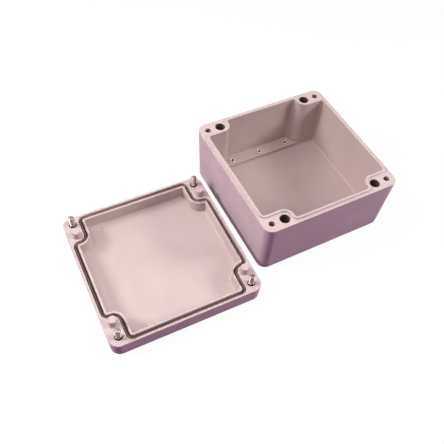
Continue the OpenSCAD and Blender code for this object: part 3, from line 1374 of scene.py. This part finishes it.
@dataclass
class CaptiveScrews:
    """The four slotted lid screws and the rubber rings that keep them in the lid."""

    plan: Plan
    place: Place
    thread_r: float = 3.0
    core_r: float = 2.45
    crest_room: float = 0.08
    pitch: float = 1.0
    waist_r: float = 2.35
    head_r: float = 5.0
    head_h: float = 4.0
    head_lift: float = 0.5
    head_edge: float = 0.6
    # Rise of the two steps of the head's lower edge, as shares of its edge
    head_steps: tuple[float, float] = (0.15, 0.5)
    slot_w: float = 1.6
    slot_depth: float = 1.8
    thread_low: float = 20.6
    tip: float = 33.5
    tip_round: float = 1.8
    ring_low: float = 15.7
    ring_h: float = 1.6
    ring_bore: float = 2.4
    ring_r: float = 3.72
    ring_edge: float = 0.4
    # Rise of the two steps of the ring's lower edge, as shares of its edge
    ring_steps: tuple[float, float] = (0.2, 0.8)
    ring_points: int = 40
    ring_crisp: float = 50.0

    def screw(self) -> Workpiece:
        """Makes one screw about the upright axis.

        Returns:
            The sealed and shaded screw.
        """
        # The crests stand a little proud, for the blank to cut them to their radius
        crest = self.thread_r + self.crest_room
        thread = Thread(crest, self.core_r, self.pitch, self.thread_low, self.tip + OVER)
        shank = thread.solid("captive_screw")
        blank = Workpiece("blank")
        blank.disc((0.0, 0.0), self.thread_low - OVER, self.thread_r)
        blank.follow(
            [
                *straight(Heading.UP, self.tip - self.thread_low + OVER - self.tip_round),
                *rounded(Heading.UP, Heading.IN, self.tip_round, ROUND_CUTS),
            ]
        )
        blank.seal()
        shank.work_in(blank, Join.COMMON)
        head = Workpiece("head")
        low, high = (self.head_edge * share for share in self.head_steps)
        head.disc((0.0, 0.0), self.head_lift, self.head_r - self.head_edge)
        head.follow(
            [
                (-self.head_edge / 2, low),
                (-self.head_edge / 2, high),
                *straight(Heading.UP, self.head_h - low - high - self.head_edge / 2),
                (self.head_edge / 2, self.head_edge / 2),
                *straight(Heading.IN, self.head_r - self.waist_r - self.head_edge / 2),
                *straight(Heading.UP, self.thread_low - self.head_lift - self.head_h + OVER),
            ]
        )
        head.seal()
        slot = Workpiece("slot")
        slot.plate(2 * self.head_r, self.slot_w / 2, self.head_lift - OVER)
        slot.follow(straight(Heading.UP, self.slot_depth + OVER))
        slot.seal()
        head.work_in(slot, Join.CUT)
        shank.work_in(head, Join.UNION)
        shank.smooth()
        return shank

    def ring(self) -> Workpiece:
        """Makes one captive ring about the upright axis.

        Returns:
            The sealed and shaded ring.
        """
        work = Workpiece("captive_ring")
        edge = self.ring_edge
        low, high = (edge * share for share in self.ring_steps)
        work.disc((0.0, 0.0), self.ring_low, self.ring_r - edge, self.ring_points)
        upright = self.ring_h - 2 * edge
        work.follow(
            [
                NO_FLOOR,
                (-edge / 2, low),
                (-edge / 2, high),
                *straight(Heading.UP, upright),
                *rounded(Heading.UP, Heading.IN, edge),
                *straight(Heading.IN, self.ring_r - self.ring_bore - 2 * edge),
                *rounded(Heading.IN, Heading.DOWN, edge),
                *straight(Heading.DOWN, self.ring_h - edge),
            ]
        )
        work.open_cap()
        work.bridge_level(self.ring_low)
        work.seal()
        work.smooth(self.ring_crisp)
        return work

    def zone_of(self, face: bmesh.types.BMFace) -> Zone:
        """Says whether a face lies on the screw's waist, down in the lid's bore, where the steel is darkened
        as painted shade, or elsewhere.
        """
        level = face.calc_center_median().z
        return Zone.BORE if self.head_lift + self.head_h < level < self.thread_low else Zone.RIM

    def build(self, steel: dict[Zone, bpy.types.Material], rubber: bpy.types.Material) -> list[Dressed]:
        """Models the screw and the ring once and copies them to the four corners.

        Args:
            steel: Finish of the screws, outside, and on the waist, darkened there as painted shade.
            rubber: Finish of the rings.

        Returns:
            The eight finished pieces.
        """
        screw, ring = self.screw(), self.ring()
        screw.dress(steel, self.zone_of)
        ring.obj.data.materials.append(rubber)
        made = []
        kinds = (
            (screw, "captive_screw", "screw", "lid_screw", "stainless"),
            (ring, "captive_ring", "ring", "screw_ring", "rubber"),
        )
        for master, name, body, node, slot in kinds:
            for corner, (sx, sy) in LID_SIGNS.items():
                twin = copied(master.obj, f"{name}_{corner.value}")
                self.place.carry(sx * self.plan.screw_at, sy * self.plan.screw_at).settle(twin)
                made.append(Dressed(twin, f"{body}_{corner.value}", [f"{node}_{corner.value}"], slot))
            bpy.data.objects.remove(master.obj)
        return made


@dataclass
class BrassInsert:
    """A knurled brass insert with a tapped through hole, standing on the origin."""

    radius: float
    height: float
    thread_r: float
    core_r: float
    pitch: float
    collar: float = 0.8
    waist: float = 0.35
    edge: float = 0.25
    crown: float = 0.6
    mouth: float = 0.15
    sink: float = 0.5
    points: int = 48
    # Faces of at least this share of a band's facet are knurled, with this room round each dent
    knurl_share: float = 0.6
    knurl_room: float = 0.1
    knurl_depth: float = 0.2
    # Faces that rise more than this have the finish of the top, the others the dark side finish, which is
    # painted shade
    top_lean: float = 0.45
    top: Zone = Zone.RIM

    def zone_of(self, face: bmesh.types.BMFace) -> Zone:
        """Says whether a face lies in the tapped hole or on the side, both darkened as painted shade, or on
        the top.

        Args:
            face: The face.

        Returns:
            The zone.
        """
        reach = max(corner.co.xy.length for corner in face.verts)
        if reach < self.thread_r + NEAR:
            return Zone.BORE
        return self.top if face.normal.z > self.top_lean else Zone.OUTSIDE

    def solid(self, name: str) -> Workpiece:
        """Makes the insert.

        Args:
            name: Name of the piece.

        Returns:
            The sealed and shaded insert.
        """
        work = Workpiece(name)
        work.disc((0.0, 0.0), 0.0, self.radius - self.edge, self.points)
        band = (self.height - 3 * self.collar - self.edge - self.crown) / 2
        work.follow(
            [
                (-self.edge, self.edge),
                *straight(Heading.UP, band),
                *straight(Heading.IN, self.waist),
                *straight(Heading.UP, self.collar),
                *straight(Heading.OUT, self.waist),
                *straight(Heading.UP, band),
                *straight(Heading.IN, self.waist),
                *straight(Heading.UP, self.collar),
                *straight(Heading.OUT, self.waist),
                *straight(Heading.UP, self.collar),
                *rounded(Heading.UP, Heading.IN, self.crown),
            ]
        )
        step = 2 * math.pi / self.points
        work.pick_faces(
            lambda f: abs(f.normal.z) < UPRIGHT
            and f.calc_area() > self.knurl_share * band * step * self.radius
            and int(math.atan2(f.calc_center_median().y, f.calc_center_median().x) // step) % 2 == 0
        )
        bpy.ops.mesh.inset(thickness=self.knurl_room, depth=-self.knurl_depth, use_individual=True)
        work.seal()
        countersink = Workpiece("countersink")
        countersink.disc((0.0, 0.0), self.height + OVER, self.thread_r + self.mouth + OVER, self.points)
        countersink.follow([(OVER, -OVER), (self.mouth + self.sink, -self.mouth - self.sink)])
        countersink.close_level(self.height + OVER)
        countersink.seal()
        tap = Thread(self.thread_r, self.core_r, self.pitch, -OVER, self.height + OVER).solid("tap")
        work.work_in(tap, Join.CUT)
        work.work_in(countersink, Join.CUT)
        work.smooth()
        return work


@dataclass
class Inserts:
    """All brass inserts of the base."""

    plan: Plan
    base: BaseMoulding
    proud: float = 1.0
    strip_h: float = 8.0
    room: float = 0.02
    # Thread radius, core radius and pitch
    boss_thread: tuple[float, float, float] = (3.0, 2.5, 1.0)
    strip_thread: tuple[float, float, float] = (2.0, 1.65, 0.7)

    def build(self, brass: dict[Zone, bpy.types.Material]) -> list[Dressed]:
        """Models each kind of insert once and copies it to its places.

        Args:
            brass: Their finish, on the top, and darkened as painted shade on the side and in the tapped hole.

        Returns:
            The ten finished pieces.
        """
        base, at = self.base, self.plan.screw_at
        level = base.height - base.insert_depth - base.insert_h
        # The boss inserts sit down in their mouths and take the dark side finish on top too, as painted shade
        boss = BrassInsert(base.insert_r - self.room, base.insert_h, *self.boss_thread, top=Zone.OUTSIDE)
        corners = {
            f"boss_thread_{corner.value}": (f"boss_insert_{corner.value}", Place(sx * at, sy * at, level))
            for corner, (sx, sy) in BASE_SIGNS.items()
        }
        level = base.strip_top + self.proud - self.strip_h
        strip = BrassInsert(base.pocket_r - self.room, self.strip_h, *self.strip_thread)
        rows = {
            f"strip_thread_{row}_{column}": (
                f"strip_insert_{row}_{column}",
                Place(x * base.pocket_pitch, y * base.pocket_y, level),
            )
            for row, y in (("front", -1), ("back", 1))
            for column, x in (("left", -1), ("middle", 0), ("right", 1))
        }
        made = []
        for kind, places in ((boss, corners), (strip, rows)):
            master = kind.solid("insert")
            master.dress(brass, kind.zone_of)
            for name, (node, place) in places.items():
                twin = copied(master.obj, name)
                place.settle(twin)
                made.append(Dressed(twin, "base", [node], "brass"))
            bpy.data.objects.remove(master.obj)
        return made


@dataclass(frozen=True)
class Lamp:
    """A square soft light that hangs in one direction from the object.

    Its power is in watts, angles are in degrees and lengths in metres.
    """

    name: str
    power: float
    azimuth: float
    elevation: float
    size: float
    distance: float = 1.1

    def hang(self, aim: Vector) -> None:
        """Puts the lamp in its place and turns it to what it lights.

        Args:
            aim: The point it lights.
        """
        light = bpy.data.lights.new(self.name, "AREA")
        light.energy, light.size = self.power, self.size
        lamp = bpy.data.objects.new(self.name, light)
        bpy.context.scene.collection.objects.link(lamp)
        az, el = math.radians(self.azimuth), math.radians(self.elevation)
        way = Vector((math.cos(el) * math.cos(az), math.cos(el) * math.sin(az), math.sin(el)))
        lamp.location = aim + self.distance * way
        lamp.rotation_euler = way.to_track_quat("Z", "Y").to_euler()


@dataclass
class Studio:
    """The floor, the light and the camera of the photograph."""

    sky: float = 0.03
    floor_half: float = 4.0
    floor_white: float = 0.93
    # What the floor throws on the object, and what it looks like itself
    floor_throw: Colour = shade(152, 90, 148)
    floor_look: Colour = shade(250, 250, 250)
    # The camera, with angles in degrees and its stand in metres
    lens: float = 45.357
    sensor: float = 36.0
    clip_start: float = 0.01
    azimuth: float = -31.623
    elevation: float = 53.609
    roll: float = 5.471
    stand: tuple[float, float, float] = (-0.281984, -0.321859, 0.506983)
    # What the lamps are aimed at, and each one's power, azimuth, elevation, size and distance
    middle: tuple[float, float, float] = (-0.08, -0.01, 0.02)
    lamps: tuple[Lamp, ...] = (
        Lamp("left_panel", 8.3, 158.0, 32.0, 0.35),
        Lamp("left_top", 1.15, 165.0, 62.0, 0.25, 0.65),
        Lamp("right_panel", 7.4, 330.0, 32.0, 0.3),
        Lamp("side_panel", 1.0, 0.0, 52.0, 0.6),
        Lamp("back_panel", 2.0, 90.0, 30.0, 0.6),
        Lamp("top_panel", 0.95, 240.0, 80.0, 0.3, 0.6),
    )

    def seen(self, graph: Graph) -> bpy.types.NodeSocket:
        """Tells what the camera sees, straight, mirrored or through glass, from plain light.

        Args:
            graph: The tree that asks.

        Returns:
            1 for what is seen, 0 for plain light.
        """
        path = graph.add("ShaderNodeLightPath", {}).outputs
        straight_or_mirrored = graph.reckon("MAXIMUM", path["Is Camera Ray"], path["Is Glossy Ray"])
        return graph.reckon("MAXIMUM", straight_or_mirrored, path["Is Transmission Ray"])

    def build_world(self) -> None:
        """Lights everything evenly and shows white where nothing stands."""
        world = bpy.data.worlds.new("studio")
        bpy.context.scene.world = world
        world.use_nodes = True
        g = Graph(world.node_tree)
        strength = g.spread(self.seen(g), 0.0, 1.0, self.sky, 1.0)
        sky = g.add("ShaderNodeBackground", {"Color": WHITE, "Strength": strength})
        g.add("ShaderNodeOutputWorld", {"Surface": sky.outputs[0]})

    def build_floor(self) -> None:
        """Lays a plain white floor that keeps a soft shadow."""
        clear_selection()
        bpy.ops.mesh.primitive_plane_add(size=2 * self.floor_half)
        floor = bpy.context.object
        floor.name = floor.data.name = "studio_floor"
        material, g = start_finish("studio_floor")
        seen = self.seen(g)
        tone = g.blend(seen, self.floor_throw, self.floor_look)
        matt = g.add("ShaderNodeBsdfDiffuse", {"Color": tone})
        white = g.add("ShaderNodeEmission", {"Color": WHITE, "Strength": 1.0})
        share = g.reckon("MULTIPLY", seen, self.floor_white)
        mixed = g.add("ShaderNodeMixShader", {0: share, 1: matt.outputs[0], 2: white.outputs[0]})
        g.add("ShaderNodeOutputMaterial", {"Surface": mixed.outputs[0]})
        floor.data.materials.append(material)

    def build_camera(self) -> None:
        """Stands the camera where the photograph was taken from."""
        az, el, roll = (math.radians(a) for a in (self.azimuth, self.elevation, self.roll))
        back = Vector((math.sin(az) * math.cos(el), -math.cos(az) * math.cos(el), math.sin(el)))
        right = Vector((math.cos(az), math.sin(az), 0.0))
        up = back.cross(right)
        across = math.cos(roll) * right + math.sin(roll) * up
        upright = math.cos(roll) * up - math.sin(roll) * right
        data = bpy.data.cameras.new("camera")
        data.lens, data.sensor_width, data.clip_start = self.lens, self.sensor, self.clip_start
        camera = bpy.data.objects.new("camera", data)
        bpy.context.scene.collection.objects.link(camera)
        turn = Matrix((across, upright, back)).transposed().to_4x4()
        camera.matrix_world = Matrix.Translation(self.stand) @ turn
        bpy.context.scene.camera = camera

    def build(self) -> None:
        """Sets up floor, light and camera."""
        bpy.context.scene.view_settings.view_transform = "Standard"
        self.build_world()
        self.build_floor()
        self.build_camera()
        for lamp in self.lamps:
            lamp.hang(Vector(self.middle))


def main() -> None:
    """Builds the box piece by piece and sets up the studio."""
    plan = Plan()
    lid_place = Place(x=-170.5, y=-24.8, turn=88.9)
    effects = Effects()
    finishes = {
        # Painted light: the rim is a little lighter than the same plastic in the hollow, for the bright
        # up-facing rims
        Zone.RIM: Polyester(
            "polyester_rim",
            shade(207, 186, 185),
            shade(200, 179, 178),
            shade(216, 197, 195),
            roughness=0.42,
            shine=0.35,
        ),
        Zone.HOLLOW: Polyester(
            "polyester_hollow",
            shade(204, 185, 183),
            shade(196, 177, 175),
            shade(213, 195, 193),
            roughness=0.47,
            shine=0.25,
        ),
        # Painted shade: the bores are a much darker copy of the plastic, for the shade down in the holes
        Zone.BORE: Polyester(
            "polyester_bore_painted_shade",
            shade(108, 88, 84),
            shade(88, 70, 66),
            shade(124, 104, 99),
            roughness=0.5,
            shine=0.2,
        ),
        # Painted shade: a darker, mauve copy of the plastic on the outer walls, for their purple-cast shade
        Zone.OUTSIDE: Polyester(
            "polyester_outside_painted_shade",
            shade(201, 178, 184),
            shade(192, 169, 176),
            shade(211, 190, 195),
            roughness=0.56,
            shine=0.08,
        ),
    }
    # Painted shade: the base's deep hollow is a darker copy of the lid's hollow plastic
    base_hollow = Polyester(
        "polyester_base_hollow_painted_shade",
        shade(194, 174, 172),
        shade(186, 166, 164),
        shade(203, 184, 182),
        roughness=0.47,
        shine=0.25,
    )
    in_lid = {zone: finish.make(effects) for zone, finish in finishes.items()}
    in_base = in_lid | {Zone.HOLLOW: base_hollow.make(effects)}
    # Dark rubber for the captive rings, and painted shade on the seal's lower faces down in the groove
    dark_rubber_and_painted_shade = Rubber("dark_rubber_and_painted_shade", shade(46, 31, 29), shade(66, 48, 45)).make(effects)
    # The seal's own colour on its top; its lower faces are dark as painted shade
    seal = {
        Zone.RIM: Rubber("seal_rubber", shade(116, 89, 83), shade(144, 115, 108)).make(effects),
        Zone.HOLLOW: dark_rubber_and_painted_shade,
    }
    steel = {
        # Painted reflection: the steel is darker and pinker than bare stainless, for the dim, pinkish room it
        # mirrors
        Zone.RIM: TurnedMetal(
            "stainless", shade(172, 154, 151), shade(90, 72, 68), roughness=0.3
        ).make(effects),
        # Painted shade: the waist down in the lid's bore is nearly black steel
        Zone.BORE: TurnedMetal(
            "stainless_waist_painted_shade", shade(62, 48, 45), shade(46, 35, 33), roughness=0.6
        ).make(effects),
    }
    brass = {
        # Painted highlight: a pale, part-metal top that stays bright as a glint under any light
        Zone.RIM: TurnedMetal(
            "brass", shade(252, 239, 228), shade(234, 213, 198), roughness=0.24, metal=0.45
        ).make(effects),
        # Painted shade: dark, dull brass for the inserts' sides and for the boss inserts' tops
        Zone.OUTSIDE: TurnedMetal(
            "brass_side_painted_shade", shade(122, 94, 78), shade(82, 60, 49), roughness=0.4, metal=0.6
        ).make(effects),
        # Painted shade: near-black brass in the tapped holes
        Zone.BORE: TurnedMetal(
            "brass_thread_painted_shade", shade(82, 64, 57), shade(54, 41, 36), roughness=0.4
        ).make(effects),
    }

    base = BaseMoulding(plan)
    lid = LidMoulding(plan, lid_place)
    pieces = [base.build(in_base), lid.build(in_lid), lid.build_seal(seal)]
    pieces += CaptiveScrews(plan, lid_place).build(steel, dark_rubber_and_painted_shade)
    pieces += Inserts(plan, base).build(brass)
    for piece in pieces:
        piece.hand_over()
    Studio().build()


if __name__ == "__main__":
    logging.basicConfig(level=logging.INFO, format="%(name)s: %(message)s")
    main()
